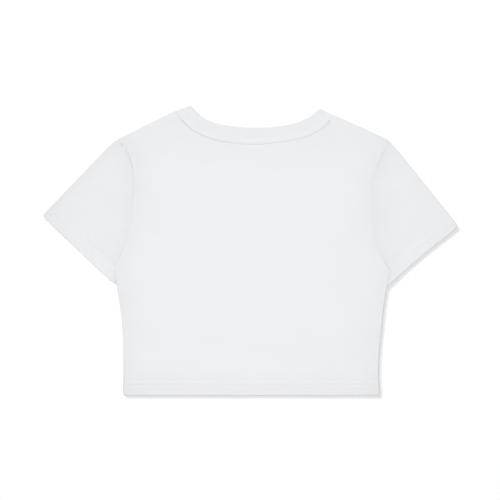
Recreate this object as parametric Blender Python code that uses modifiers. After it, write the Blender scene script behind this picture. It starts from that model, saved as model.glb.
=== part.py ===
"""A cropped short-sleeved top laid flat on its front, so that its back faces up.

It is five sewn pieces: a front and a back panel, two set-in sleeves and a neck rib.
Sizes are in millimetres and become metres where a mesh is made. The garment lies on
the plane z = 0; +X is the wearer's right, +Y points to the neck and +Z is up. In plan
a place is (x, up), where up is the distance above the body hem.
"""

from typing import Callable, NamedTuple, Sequence

import bmesh
import bpy
import numpy as np

COLLECTION = "crop_top"
SIDE_NAMES = ("left", "right")  # the wearer's
MM = 0.001

# Driving sizes, in millimetres
LENGTH = 420.0  # body hem to the highest point of the neck rib
CLOTH = 1.0  # wall of one layer of jersey
HEM_WALL = 1.6  # wall where a hem is turned up
RIB_WALL = 2.0  # wall of the folded neck rib
SEAM_GAP = 0.3  # between two pieces at a seam
CORNER_EASE = 0.4  # a piece's corner at a fold stands this far off its seam's line
BODY_HEM = 20.0  # depth of the body hem
SLEEVE_HEM = 18.0  # depth of a sleeve hem
HEM_STEP = 1.0  # over which the wall goes from hem to single cloth

# Heights above the surface that the garment lies on
FOLD_HEIGHT = 4.2  # over a side seam, shoulder or sleeve fold
FOLD_REACH = 1.85  # how far in from its edge a fold has turned level
FOLD_SPLIT = 0.56  # between the outer faces of two panels that meet at a folded edge
RIB_FOLD_HEIGHT = 5.2
RIB_FOLD_REACH = 2.6
BODY_HEIGHT = 2.9  # top of the back panel over the lower body
CHEST_HEIGHT = 3.5  # and over the front neck rib, which lies beneath it
HEM_HEIGHT = 3.7  # and over the turned hems
RIB_REST_HEIGHT = 2.6  # top of the rib where nothing lies beneath it
RIB_PROUD = 0.5  # the rib stands this far above the back panel at their seam
CHEST_RISE = (250.0, 305.0)  # levels between which the back panel rises
FOLD_FADE = 9.0  # inwards, a fold's height settles over about this distance
HEM_FADE = 22.0  # and a hem's over this
NECK_FADE = 13.0  # and the rib's over this
RIB_FALL = 20.0  # the back rib comes down over this distance past the front rib

# Rows of the grids. A folded edge has finer rows beside it, at shares of its reach.
FOLD_ROWS = (0.01, 0.1, 0.4, 1.0)
SIDE_SPANS = 5
ARMHOLE_SPANS = 9
SHOULDER_ROWS = (0.25, 0.5, 0.72, 0.9, 1.0)  # as shares of it
NECK_SPANS = 16
SLEEVE_SPANS = 9
UNDERARM_SPANS = 5
UNDERARM_DEPTH = 14.0  # millimetres of sleeve beside the underarm, about
CUFF_FAN = 0.17  # the share of the sleeve's hem whose columns run to the underarm
WELD = 0.001  # millimetres, where a grid closes to a tube


class Level(NamedTuple):
    """Where the side seams run at one level."""

    up: float
    left_x: float
    right_x: float


class Pair(NamedTuple):
    """One station of a line that both sides of the garment have."""

    left_x: float
    left_up: float
    right_x: float
    right_up: float


class RibSection(NamedTuple):
    """One section of the neck rib, from its folded edge to its seam."""

    edge_x: float
    edge_up: float
    seam_x: float
    seam_up: float


class Across(NamedTuple):
    """A line of the rib's outer face: its share of the width, and how far it falls."""

    share: float
    fall: float


class Swell(NamedTuple):
    """A soft rise, or a dip where height is negative, in the upper layer."""

    x: float
    up: float
    half_width: float
    half_length: float
    height: float


# Side seams, from the hem up; they end at the armholes' first row
SIDES = (
    Level(0.0, -185.0, 186.5),
    Level(35.0, -185.0, 185.0),
    Level(68.0, -185.0, 186.0),
    Level(102.0, -186.5, 189.5),
    Level(131.0, -189.5, 193.0),
    Level(160.0, -193.0, 198.5),
)

# Armhole seams, from the underarm to the shoulder tip
ARMHOLES = (
    Pair(-196.5, 182.0, 204.5, 179.5),
    Pair(-191.0, 195.5, 195.5, 192.5),
    Pair(-185.5, 209.5, 187.5, 207.0),
    Pair(-178.5, 228.0, 181.0, 225.0),
    Pair(-172.5, 252.0, 177.0, 251.0),
    Pair(-169.5, 280.0, 176.0, 280.0),
    Pair(-168.0, 308.0, 177.5, 306.0),
    Pair(-170.5, 329.0, 183.0, 329.0),
    Pair(-178.0, 350.5, 191.0, 348.0),
    Pair(-186.0, 362.5, 196.0, 359.5),
    Pair(-189.5, 372.5, 197.5, 369.0),
)

# Sleeve top folds, from the shoulder tip to the sleeve's outer corner
SLEEVE_FOLDS = (
    Pair(-189.5, 372.5, 197.5, 369.0),
    Pair(-202.0, 363.5, 207.0, 361.5),
    Pair(-219.0, 346.0, 221.0, 345.5),
    Pair(-252.5, 311.0, 245.0, 315.5),
    Pair(-286.0, 276.5, 279.5, 272.5),
    Pair(-295.5, 267.0, 297.0, 250.5),
    Pair(-300.0, 259.5, 300.0, 243.0),
)

# Sleeve hems, from the underarm to the sleeve's outer corner
CUFFS = (
    Pair(-193.5, 160.0, 199.0, 158.0),
    Pair(-200.0, 163.5, 207.0, 165.5),
    Pair(-211.0, 172.0, 220.0, 178.0),
    Pair(-247.5, 206.5, 253.5, 206.5),
    Pair(-284.5, 241.5, 285.5, 233.0),
    Pair(-294.0, 251.0, 296.0, 240.5),
    Pair(-300.0, 259.5, 300.0, 243.0),
)

# The rib's two halves, each from its left fold to its right fold
BACK_RIB = (
    RibSection(-86.0, 420.0, -108.5, 411.5),
    RibSection(-80.5, 413.5, -104.5, 404.5),
    RibSection(-69.0, 403.5, -93.0, 391.5),
    RibSection(-53.0, 395.5, -75.0, 378.0),
    RibSection(-30.0, 390.0, -41.0, 366.0),
    RibSection(3.0, 387.5, 3.0, 361.5),
    RibSection(38.0, 389.5, 42.0, 365.0),
    RibSection(66.0, 395.0, 78.0, 372.0),
    RibSection(86.0, 404.0, 98.5, 383.5),
    RibSection(97.0, 412.0, 113.0, 395.5),
    RibSection(102.0, 414.5, 117.0, 407.0),
)
FRONT_RIB = (
    RibSection(-86.0, 420.0, -108.5, 411.5),
    RibSection(-79.5, 396.0, -104.5, 386.0),
    RibSection(-66.0, 372.0, -88.0, 354.5),
    RibSection(-40.0, 353.0, -54.0, 330.0),
    RibSection(6.0, 345.0, 6.0, 319.0),
    RibSection(52.0, 352.0, 64.0, 328.5),
    RibSection(81.0, 370.5, 101.0, 353.5),
    RibSection(95.5, 393.0, 116.0, 383.0),
    RibSection(102.0, 414.5, 117.0, 407.0),
)

# Across the rib, from its folded edge to its seam
RIB_ACROSS = (
    Across(0.0, 0.5),
    Across(0.07, 0.0),
    Across(0.4, -0.1),
    Across(0.75, -0.15),
    Across(1.0, 0.0),
)

# Where the cloth has not settled quite flat
SWELLS = (
    Swell(-95.0, 120.0, 70.0, 90.0, 0.35),
    Swell(70.0, 85.0, 90.0, 60.0, 0.3),
    Swell(120.0, 215.0, 45.0, 80.0, 0.35),
    Swell(-20.0, 235.0, 80.0, 50.0, -0.2),
    Swell(-240.0, 255.0, 40.0, 45.0, 0.4),
    Swell(240.0, 250.0, 42.0, 50.0, 0.4),
)

CLOTH_WHITE = (0.86, 0.865, 0.875, 1.0)
RIB_WHITE = (0.84, 0.845, 0.86, 1.0)
COTTON_ROUGHNESS = 0.95


class Line:
    """A line in plan, read by the distance along it."""

    def __init__(self, points: Sequence) -> None:
        self.points = np.asarray(points, float)
        steps = np.linalg.norm(np.diff(self.points, axis=0), axis=1)
        self.distances = np.concatenate([[0.0], np.cumsum(steps)])
        self.length = float(self.distances[-1])

    def share(self, share: np.ndarray) -> np.ndarray:
        """The points at these shares of the line's length."""
        distance = np.asarray(share) * self.length
        return np.stack([np.interp(distance, self.distances, c) for c in self.points.T], axis=-1)

    def moved(self, offset: float) -> "Line":
        """The line moved sideways, to its right as it runs."""
        along = np.gradient(self.points, axis=0)
        along /= np.linalg.norm(along, axis=1, keepdims=True)
        return Line(self.points + offset * np.stack([along[:, 1], -along[:, 0]], axis=1))

    def ends(self) -> tuple[np.ndarray, np.ndarray]:
        """The line's first and last points."""
        return self.points[0], self.points[-1]

    def between(self, other: "Line") -> "Line":
        """This line with the other's two ends in place of its own."""
        return Line([other.points[0], *self.points[1:-1], other.points[-1]])

    def tipped(self, end: int, toward: np.ndarray) -> "Line":
        """This line with its first (0) or last (-1) point moved a little toward a place."""
        points = self.points.copy()
        run = toward - points[end]
        points[end] += CORNER_EASE * run / np.linalg.norm(run)
        return Line(points)

    def joined(self, other: "Line") -> "Line":
        """This line and then the other, which starts where this one ends."""
        return Line(np.vstack([self.points, other.points[1:]]))


def smooth(rows: Sequence, per_span: int = 10) -> np.ndarray:
    """A dense Catmull-Rom curve through a table's rows, with the same columns."""
    rows = np.asarray(rows, float)
    padded = np.vstack([2 * rows[0] - rows[1], rows, 2 * rows[-1] - rows[-2]])
    t = np.arange(per_span)[:, None] / per_span
    spans = []
    for a, b, c, d in zip(padded, padded[1:], padded[2:], padded[3:]):
        squares = (2 * a - 5 * b + 4 * c - d) * t**2
        cubes = (3 * b - a - 3 * c + d) * t**3
        spans.append((2 * b + (c - a) * t + squares + cubes) / 2)
    return np.vstack([*spans, rows[-1:]])


def column_line(table: Sequence[Pair], side: str) -> Line:
    """The smooth line that a table of pairs gives for one side."""
    rows = [(getattr(row, side + "_x"), getattr(row, side + "_up")) for row in table]
    return Line(smooth(rows))


def smoothstep(value: np.ndarray) -> np.ndarray:
    """0 below 0, 1 above 1, and an even ease between them."""
    t = np.clip(value, 0.0, 1.0)
    return t * t * (3 - 2 * t)


def distance_to(points: np.ndarray, lines: Sequence[Line]) -> np.ndarray:
    """How far each plan point is from the nearest of the lines."""
    best = np.full(points.shape[:-1], np.inf)
    for line in lines:
        start, run = line.points[:-1], np.diff(line.points, axis=0)
        offset = points[..., None, :] - start
        t = np.clip((offset * run).sum(-1) / (run * run).sum(-1), 0.0, 1.0)
        away = np.linalg.norm(offset - t[..., None] * run, axis=-1)
        best = np.minimum(best, away.min(-1))
    return best


class Plan:
    """The garment's seams, folds and hems in plan, worked out from the tables."""

    def __init__(self) -> None:
        self.rib_edges: dict[str, Line] = {}
        self.rib_seams: dict[str, Line] = {}
        self.necklines: dict[str, Line] = {}
        for layer, table in (("back", BACK_RIB), ("front", FRONT_RIB)):
            sections = smooth(table)
            edge, seam = Line(sections[:, :2]), Line(sections[:, 2:])
            rib_end = seam.moved(-SEAM_GAP / 2)
            for end in (0, -1):
                rib_end = rib_end.tipped(end, edge.points[end])
            self.rib_edges[layer] = edge
            self.rib_seams[layer] = rib_end
            self.necklines[layer] = seam.moved(SEAM_GAP / 2)
        for lines in (self.rib_seams, self.necklines):
            lines["front"] = lines["front"].between(lines["back"])
        ends = zip(self.rib_edges["back"].ends(), self.rib_seams["back"].ends())
        self.rib_folds = [Line(pair) for pair in ends]

        self.sides: dict[str, Line] = {}
        self.body_armholes: dict[str, Line] = {}
        self.sleeve_armholes: dict[str, Line] = {}
        self.sleeve_folds: dict[str, Line] = {}
        self.underarms: dict[str, Line] = {}
        self.cuffs: dict[str, Line] = {}
        self.shoulders: dict[str, Line] = {}
        neck_ends = dict(zip(SIDE_NAMES, self.necklines["back"].ends()))
        for side, to_body in zip(SIDE_NAMES, (SEAM_GAP / 2, -SEAM_GAP / 2)):
            seam, fold = column_line(ARMHOLES, side), column_line(SLEEVE_FOLDS, side)
            body = seam.moved(to_body)
            sleeve_end = seam.moved(-to_body).tipped(0, fold.points[-1]).tipped(-1, fold.points[1])
            rows = [(getattr(level, side + "_x"), level.up) for level in SIDES]
            self.sides[side] = Line(smooth([*rows, body.points[0]]))
            self.shoulders[side] = Line([body.points[-1], neck_ends[side]])
            self.body_armholes[side] = body
            self.sleeve_armholes[side] = sleeve_end
            self.cuffs[side] = column_line(CUFFS, side)
            self.sleeve_folds[side] = Line([sleeve_end.points[-1], *fold.points[1:]])
            self.underarms[side] = Line([self.cuffs[side].points[0], sleeve_end.points[0]])
        self.hem = Line([self.sides[side].points[0] for side in SIDE_NAMES])

    def body_edge(self, side: str) -> Line:
        """A body panel's edge, up its side seam and armhole and along its shoulder."""
        return self.sides[side].joined(self.body_armholes[side]).joined(self.shoulders[side])

    def folds(self) -> list[Line]:
        """Every edge that the jersey turns over at."""
        groups = (self.sides, self.shoulders, self.sleeve_folds, self.underarms)
        return [line for group in groups for line in group.values()]


PLAN = Plan()


def past_front_rib(points: np.ndarray) -> np.ndarray:
    """How far a point lies inside the front rib's U; it is negative outside it."""
    edge = PLAN.rib_edges["front"]
    level = np.interp(points[..., 0], *edge.points.T, left=np.inf, right=np.inf)
    away = distance_to(points, [edge])
    return np.where(points[..., 1] > level, away, -away)


def rib_crown(points: np.ndarray) -> np.ndarray:
    """The top of the back rib away from its folds. It comes down past the front rib."""
    fall = smoothstep(past_front_rib(points) / RIB_FALL)
    return RIB_FOLD_HEIGHT + (RIB_REST_HEIGHT - RIB_FOLD_HEIGHT) * fall


def jersey_crown(points: np.ndarray) -> np.ndarray:
    """The top of the back panel and of the sleeves' upper layers, inside their folds."""
    x, up = points[..., 0], points[..., 1]
    rise = smoothstep((up - CHEST_RISE[0]) / (CHEST_RISE[1] - CHEST_RISE[0]))
    top = BODY_HEIGHT + (CHEST_HEIGHT - BODY_HEIGHT) * rise
    for swell in SWELLS:
        away = np.hypot((x - swell.x) / swell.half_width, (up - swell.up) / swell.half_length)
        top = top + swell.height * (1 - smoothstep(away))
    from_hem = distance_to(points, [PLAN.hem, *PLAN.cuffs.values()])
    top = top + (HEM_HEIGHT - top) * (1 - smoothstep((from_hem - BODY_HEM) / HEM_FADE))
    near_rib = np.exp(-((distance_to(points, [PLAN.necklines["back"]]) / NECK_FADE) ** 2))
    top = top + (rib_crown(points) - RIB_PROUD - top) * near_rib
    inwards = np.maximum(distance_to(points, PLAN.folds()) - FOLD_REACH, 0.0)
    return top + (FOLD_HEIGHT - top) * np.exp(-inwards / FOLD_FADE)


def arch(distance: np.ndarray, reach: float) -> np.ndarray:
    """A quarter round: 0 on a folded edge, and 1 from its reach inwards."""
    return np.sqrt(1 - (1 - np.clip(distance / reach, 0.0, 1.0)) ** 2)


def jersey_top(points: np.ndarray, split: float = 0.0) -> np.ndarray:
    """The outer face of an upper layer, which turns down at its folded edges."""
    edge = (FOLD_HEIGHT + split) / 2
    turned = arch(distance_to(points, PLAN.folds()), FOLD_REACH)
    return edge + (jersey_crown(points) - edge) * turned


def jersey_bottom(points: np.ndarray, split: float = 0.0) -> np.ndarray:
    """The outer face of a lower layer, flat but for its folded edges, which turn up."""
    edge = (FOLD_HEIGHT - split) / 2
    return edge * (1 - arch(distance_to(points, PLAN.folds()), FOLD_REACH))


def rib_top(points: np.ndarray) -> np.ndarray:
    """The outer face of the back rib."""
    middle = RIB_FOLD_HEIGHT / 2
    turned = arch(distance_to(points, PLAN.rib_folds), RIB_FOLD_REACH)
    return middle + (rib_crown(points) - middle) * turned


def rib_bottom(points: np.ndarray) -> np.ndarray:
    """The outer face of the front rib."""
    turned = arch(distance_to(points, PLAN.rib_folds), RIB_FOLD_REACH)
    return RIB_FOLD_HEIGHT / 2 * (1 - turned)


def stations(length: float, spans: int, reach: float) -> np.ndarray:
    """Distances along a line between two folded edges, with finer steps beside them."""
    fine = np.array([0.0, *FOLD_ROWS]) * reach
    even = np.linspace(reach, length - reach, spans + 1)
    return np.concatenate([fine, even[1:-1], length - fine[::-1]])


def coons(
    near: np.ndarray, far: np.ndarray, left: Line, right: Line,
    across: np.ndarray, up_left: np.ndarray, up_right: np.ndarray,
) -> np.ndarray:
    """Rows of plan points of the patch between four edges.

    near and far are its first and last rows; across says how far over each column
    lies, and up_left and up_right are the rows' shares along the left and right edges.
    """
    b = (np.outer(up_left, 1 - across) + np.outer(up_right, across))[..., None]
    plan = (1 - b) * near + b * far
    for end, edge, up, weight in ((0, left, up_left, 1 - across), (-1, right, up_right, across)):
        chord = Line([near[end], far[end]])
        plan = plan + weight[:, None] * (edge.share(up) - chord.share(up))[:, None]
    return plan


def raised(plan: np.ndarray, heights: np.ndarray) -> np.ndarray:
    """Plan points with their heights as a third column."""
    return np.concatenate([plan, heights[..., None]], axis=-1)


def cotton(name: str, colour: Sequence[float]) -> bpy.types.Material:
    """White cotton, matt all over."""
    material = bpy.data.materials.new(name)
    material.use_nodes = True
    shader = material.node_tree.nodes["Principled BSDF"]
    shader.inputs["Base Color"].default_value = colour
    shader.inputs["Roughness"].default_value = COTTON_ROUGHNESS
    shader.inputs["Metallic"].default_value = 0.0
    return material


def cloth(
    name: str, points: np.ndarray, wall: float, colour: Sequence[float], turned: bool
) -> bpy.types.Object:
    """A wall of cloth whose outer face is a grid, moved to the points given.

    points holds rows of columns of (x, up, height). Where its last column repeats its
    first, the grid closes to a tube. turned says that the grid's upper face is the
    inner one, so it is reversed.
    """
    rows, columns = points.shape[0] - 1, points.shape[1] - 1
    bm = bmesh.new()
    bmesh.ops.create_grid(bm, x_segments=columns, y_segments=rows, size=0.5)
    for vert in bm.verts:
        column = round((vert.co.x + 0.5) * columns)
        row = round((vert.co.y + 0.5) * rows)
        x, up, height = points[row, column]
        vert.co = (x * MM, (up - LENGTH / 2) * MM, height * MM)
    if turned:
        bmesh.ops.reverse_faces(bm, faces=bm.faces)
    bmesh.ops.remove_doubles(bm, verts=bm.verts, dist=WELD * MM)
    mesh = bpy.data.meshes.new(name)
    bm.to_mesh(mesh)
    bm.free()
    mesh.shade_smooth()
    mesh.materials.append(cotton(name, colour))
    obj = bpy.data.objects.new(name, mesh)
    bpy.data.collections[COLLECTION].objects.link(obj)
    solidify = obj.modifiers.new("wall", "SOLIDIFY")
    solidify.thickness = wall * MM
    solidify.offset = -1.0
    return obj


def turn_up(obj: bpy.types.Object, hem: Line, depth: float) -> None:
    """Thins the wall of a piece to a single cloth, but for a hem of this depth."""
    places = np.array([(vert.co.x / MM, vert.co.y / MM + LENGTH / 2) for vert in obj.data.vertices])
    inside = (depth + HEM_STEP - distance_to(places, [hem])) / HEM_STEP
    group = obj.vertex_groups.new(name="hem")
    for index, weight in enumerate(np.clip(inside, 0.0, 1.0)):
        group.add([index], float(weight), "REPLACE")
    solidify = obj.modifiers["wall"]
    solidify.vertex_group = group.name
    solidify.thickness_vertex_group = CLOTH / HEM_WALL


def side_shares(side: str) -> np.ndarray:
    """Shares up a body panel's edge, from the hem to the neckline."""
    seam, armhole, shoulder = (
        lines[side].length for lines in (PLAN.sides, PLAN.body_armholes, PLAN.shoulders)
    )
    hem = np.array([0.0, BODY_HEM, BODY_HEM + HEM_STEP])
    plain = np.linspace(hem[-1], seam - PLAN.underarms[side].length, SIDE_SPANS + 1)[1:]
    set_in = seam + stations(armhole, ARMHOLE_SPANS, FOLD_REACH)
    along = seam + armhole + shoulder * np.array(SHOULDER_ROWS)
    return np.concatenate([hem, plain, set_in, along]) / (seam + armhole + shoulder)


def neck_shares(layer: str) -> np.ndarray:
    """Shares along a neckline, which the panel and the rib that meet there have in common."""
    length = PLAN.necklines[layer].length
    return stations(length, NECK_SPANS, RIB_FOLD_REACH) / length


def panel(layer: str, face: Callable) -> bpy.types.Object:
    """The front or the back panel, between its hem, sides, shoulders and neckline."""
    left, right = (PLAN.body_edge(side) for side in SIDE_NAMES)
    up_left, up_right = (side_shares(side) for side in SIDE_NAMES)
    across = neck_shares(layer)
    hem, neckline = PLAN.hem.share(across), PLAN.necklines[layer].share(across)
    plan = coons(hem, neckline, left, right, across, up_left, up_right)
    points = raised(plan, face(plan, FOLD_SPLIT))
    obj = cloth(layer, points, HEM_WALL, CLOTH_WHITE, turned=layer == "front")
    turn_up(obj, PLAN.hem, BODY_HEM)
    return obj


def sleeve_shares(fold: Line) -> tuple[np.ndarray, np.ndarray]:
    """Shares of a sleeve's rows, from its armhole to its hem.

    The first are those beside its underarm, finer next to the fold there, and the
    second are those along its top fold.
    """
    inner = fold.length - SLEEVE_HEM - HEM_STEP
    along = [*np.linspace(0.0, inner, SLEEVE_SPANS + 1), inner + HEM_STEP, fold.length]
    fine = np.array([0.0, *FOLD_ROWS]) * FOLD_REACH / UNDERARM_DEPTH
    even = np.linspace(fine[-1], 1.0, len(along) - len(fine) + 1)[1:]
    return np.concatenate([fine, even]), np.array(along) / fold.length


def sleeve(side: str) -> bpy.types.Object:
    """A sleeve, a flattened tube from its armhole and underarm to its hem."""
    underarm, armhole = PLAN.underarms[side], PLAN.sleeve_armholes[side]
    cuff, fold = PLAN.cuffs[side], PLAN.sleeve_folds[side]
    seam = underarm.joined(armhole)
    closed = np.linspace(0.0, underarm.length, UNDERARM_SPANS + 1)[:-1]
    opening = underarm.length + stations(armhole.length, ARMHOLE_SPANS, FOLD_REACH)
    around = np.concatenate([closed, opening]) / seam.length
    across_cuff = np.interp(around, [0.0, underarm.length / seam.length, 1.0], [0.0, CUFF_FAN, 1.0])
    corner, hem = Line([cuff.points[0]] * 2), cuff.share(across_cuff)
    plan = coons(seam.share(around), hem, corner, fold, around, *sleeve_shares(fold))
    upper = raised(plan, jersey_top(plan))
    lower = raised(plan, jersey_bottom(plan))
    points = np.concatenate([upper, lower[:, -2::-1]], axis=1)
    obj = cloth("sleeve_" + side, points, HEM_WALL, CLOTH_WHITE, turned=side == "right")
    turn_up(obj, cuff, SLEEVE_HEM)
    return obj


def rib_half(layer: str, face: Callable, outwards: float) -> np.ndarray:
    """The outer face of the rib's back or front half, as rows from its edge to its seam."""
    edge, seam = PLAN.rib_edges[layer], PLAN.rib_seams[layer]
    along = neck_shares(layer)
    share = np.array([line.share for line in RIB_ACROSS])[:, None, None]
    plan = (1 - share) * edge.share(along) + share * seam.share(along)
    turned = arch(distance_to(plan, PLAN.rib_folds), RIB_FOLD_REACH)
    fall = np.array([line.fall for line in RIB_ACROSS])[:, None] * turned
    return raised(plan, np.maximum(face(plan) - outwards * fall, 0.0))


def rib() -> bpy.types.Object:
    """The neck rib, a ring that turns over at both ends of the neckline."""
    back = rib_half("back", rib_top, outwards=1.0)
    front = rib_half("front", rib_bottom, outwards=-1.0)
    points = np.concatenate([back, front[:, -2::-1]], axis=1)
    return cloth("collar", points, RIB_WALL, RIB_WHITE, turned=True)


def main() -> None:
    """Clears the scene and makes the garment's five pieces."""
    for obj in list(bpy.data.objects):
        bpy.data.objects.remove(obj)
    collection = bpy.data.collections.new(COLLECTION)
    bpy.context.scene.collection.children.link(collection)
    panel("front", jersey_bottom)
    panel("back", jersey_top)
    for side in SIDE_NAMES:
        sleeve(side)
    rib()


main()
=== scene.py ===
"""The looks of a cropped jersey top that lies flat on its front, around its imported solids.

Each cut piece is rebuilt as thin cloth on its solid's form: a back and a front panel, two
set-in sleeves and a neck rib folded double. The hems are turned up and held by two rows of
stitches. Places on the cloth are given in plan, in millimetres: x to the wearer's right and
up from the body hem. Heights are above the floor. They become metres where a mesh is made.
"""

from __future__ import annotations

import logging
import math
from dataclasses import dataclass
from enum import Enum
from typing import Any, Iterable, NamedTuple, Sequence

import bpy
import numpy as np
from mathutils import Matrix, Vector

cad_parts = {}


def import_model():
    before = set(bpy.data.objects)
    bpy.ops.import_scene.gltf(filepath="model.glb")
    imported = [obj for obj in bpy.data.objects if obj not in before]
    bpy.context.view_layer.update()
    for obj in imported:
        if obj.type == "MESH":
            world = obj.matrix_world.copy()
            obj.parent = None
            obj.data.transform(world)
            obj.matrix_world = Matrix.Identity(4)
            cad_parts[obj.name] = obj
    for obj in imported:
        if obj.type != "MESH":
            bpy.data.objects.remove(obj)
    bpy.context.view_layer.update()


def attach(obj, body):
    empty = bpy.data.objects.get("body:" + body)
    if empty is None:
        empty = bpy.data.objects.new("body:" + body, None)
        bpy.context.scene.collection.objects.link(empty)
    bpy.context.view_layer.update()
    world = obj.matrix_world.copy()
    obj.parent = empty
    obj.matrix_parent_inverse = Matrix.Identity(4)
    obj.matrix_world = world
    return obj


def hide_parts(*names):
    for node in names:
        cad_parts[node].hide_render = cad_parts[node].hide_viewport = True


Array = np.ndarray
Piece = bpy.types.Object
LOG = logging.getLogger("crop_top")
MM = 0.001
LENGTH = 420.0  # body hem to the highest point of the neck rib
TINY = 1e-9  # keeps divisions by zero away


class Side(Enum):
    """The wearer's two sides."""

    LEFT = "left"
    RIGHT = "right"


class Layer(Enum):
    """The two layers of the flat garment: its back lies on top."""

    BACK = "back"
    FRONT = "front"


class Swell(NamedTuple):
    """A soft rise, or a dip where height is negative, in the upper layer."""

    x: float
    up: float
    half_width: float
    half_length: float
    height: float


class Shade(NamedTuple):
    """Painted shade: how much darker the colour is beside a line, and how far that reaches."""

    strength: float
    reach: float


class Tuck(NamedTuple):
    """How low a sleeve's corner lies under the body's side, and how it gets there.

    Its shade is a painted shadow on that corner.
    """

    height: float
    fade: float
    shade: Shade


def by_side(left: Any, right: Any) -> dict[Side, Any]:
    """One thing for each of the wearer's two sides."""
    return {Side.LEFT: left, Side.RIGHT: right}


def grooves(*rows: Sequence[float]) -> Array:
    """How the cloth rolls down into a seam.

    Args:
        rows: a share of the seam's length, how deep and how wide the cloth rolls down
            there, and how far the seam gapes, which is 0 where a row leaves it out.

    Returns:
        The four columns.
    """
    return np.array([(*row, 0.0)[:4] for row in rows]).T


# Side seams, from the hem up; they end at the armholes' first row
SIDES = by_side(
    (
        (-185.3, -0.2), (-185.2, 35), (-185, 68), (-186.6, 102), (-190.1, 131), (-194.4, 160),
    ),
    (
        (187, -0.2), (185.3, 35), (187, 68), (190.4, 102), (193.5, 131), (198.4, 160),
    ),
)

# Armhole seams, from the underarm to the shoulder tip
ARMHOLES = by_side(
    (
        (-196.5, 182), (-191, 195.5), (-185.5, 209.5), (-178.5, 228), (-172.5, 252),
        (-169.5, 280), (-168, 308), (-170.5, 329), (-177, 350.9), (-186.3, 363.3),
        (-189.5, 372.5),
    ),
    (
        (202.6, 180.8), (195.5, 192.5), (187.5, 207), (181, 225), (177, 251), (174.8, 281),
        (176.8, 307), (183, 329), (191, 348), (196, 359.5), (198.2, 370.4),
    ),
)

# Sleeve top folds, from the shoulder tip to the sleeve's outer corner
SLEEVE_FOLDS = by_side(
    (
        (-189.5, 372.5), (-202.3, 363.8), (-219.4, 346.5), (-252.9, 311.5), (-286.2, 276.7),
        (-295.6, 267.2), (-301.4, 260.4),
    ),
    (
        (198.2, 370.4), (206.8, 361.5), (220.5, 345.1), (244.7, 315.2), (279.2, 272.3),
        (296.6, 250.2), (299.6, 242.6),
    ),
)

# Sleeve hems, from the underarm to the sleeve's outer corner
CUFFS = by_side(
    (
        (-194.6, 161), (-200.5, 164.6), (-211.6, 173.5), (-248.1, 208), (-285.2, 243.1),
        (-295, 252.4), (-301.4, 260.4),
    ),
    (
        (199, 158), (207.2, 165), (220.5, 177.3), (253.8, 206), (286.4, 231.8), (296.1, 240.2),
        (299.6, 242.6),
    ),
)

# The rib's two halves, each from its left fold to its right fold, as the x and up of the
# folded edge and then of the seam
RIBS = {
    Layer.BACK: (
        (-87.8, 421, -108.2, 412.9), (-81.3, 412.9, -104.5, 404.5), (-70, 402.9, -93, 391.5),
        (-53.4, 394.9, -75, 378.4), (-30, 390.2, -41, 367.1), (3, 387.6, 3, 362.7),
        (38, 389.4, 42, 366), (66, 394.6, 78, 372.8), (86, 403.5, 98.6, 383.2),
        (93.8, 410.1, 109.6, 390.4), (96.6, 412.5, 113.5, 395.4), (101.2, 415.3, 117.3, 407.4),
    ),
    Layer.FRONT: (
        (-87.8, 421, -108.2, 412.9), (-79.5, 396, -104.5, 386), (-66, 372, -88, 354.5),
        (-40, 353, -54, 330), (6, 345, 6, 319), (52, 352, 64, 328.5), (81, 370.5, 101, 353.5),
        (95.5, 393, 116, 383), (101.2, 415.3, 117.3, 407.4),
    ),
}

# How deep the armhole seams lie, from the underarm to the shoulder tip
ARMHOLE_GROOVES = by_side(
    grooves(
        (0, 0.05, 1.2), (0.04, 0.1, 1.2), (0.06, 0.3, 1.2, 0.04), (0.14, 0.3, 1.2, 0.046),
        (0.24, 0.02, 1.4), (0.45, 0, 1.6), (0.52, 0.2, 1.6, 0.01), (0.57, 0.4, 1.6, 0.046),
        (0.62, 0.28, 1.6, 0.016), (0.68, 0.25, 1.3, 0.016), (0.76, 0.6, 1.8, 0.036),
        (0.88, 0.65, 1.9, 0.04), (0.908, 0.4, 1.4, 0.016), (0.918, 0, 1.2), (0.943, 0, 1.2),
        (0.949, 0.7, 1.6, 1.3), (0.955, 0, 1.2), (1, 0, 1.2),
    ),
    grooves(
        (0, 0.5, 1.4, 0.12), (0.03, 0.45, 1.3, 0.12), (0.08, 0.4, 1.2, 0.046), (0.16, 0.1, 1.4),
        (0.5, 0.05, 1.6), (0.62, 0.1, 1.4), (0.72, 0.15, 1.4, 0.01), (0.78, 0.18, 1.3, 0.016),
        (0.84, 0.3, 1.3, 0.02), (0.92, 0.3, 1.3, 0.02), (0.932, 0, 1.2), (1, 0, 1.2),
    ),
)
NECK_GROOVE = grooves(
    (0, 0.05, 1, 0.05), (0.05, 0.12, 1.2, 0.12), (0.07, 0.16, 1.4, 0.18),
    (0.08, 0.22, 1.5, 0.42), (0.105, 0.22, 1.5, 0.4), (0.13, 0.2, 2, 0.26),
    (0.25, 0.18, 3, 0.18), (0.36, 0.16, 3, 0.14), (0.5, 0.14, 2.4, 0.12), (0.7, 0.1, 1.8, 0.14),
    (0.82, 0.08, 1.4, 0.17), (0.92, 0.08, 1.2, 0.2), (0.944, 0.08, 1.2, 0.2),
    (0.953, 0.16, 1.6, 0.6), (0.96, 0.16, 1.6, 0.65), (0.964, 0, 1.2), (1, 0, 1),
)

# How far each sleeve stands off the body's side below the armhole, from its hem up
UNDERARM_GAPES = by_side(
    (
        (0, 0.5), (0.1, 0.4), (0.3, 0.22), (0.58, 0.11), (0.72, 0.06), (0.85, 0.02), (1, 0.01),
    ),
    (
        (0, 0.15), (0.15, 0.15), (0.35, 0.09), (0.6, 0.06), (0.85, 0.04), (1, 0.02),
    ),
)
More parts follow.
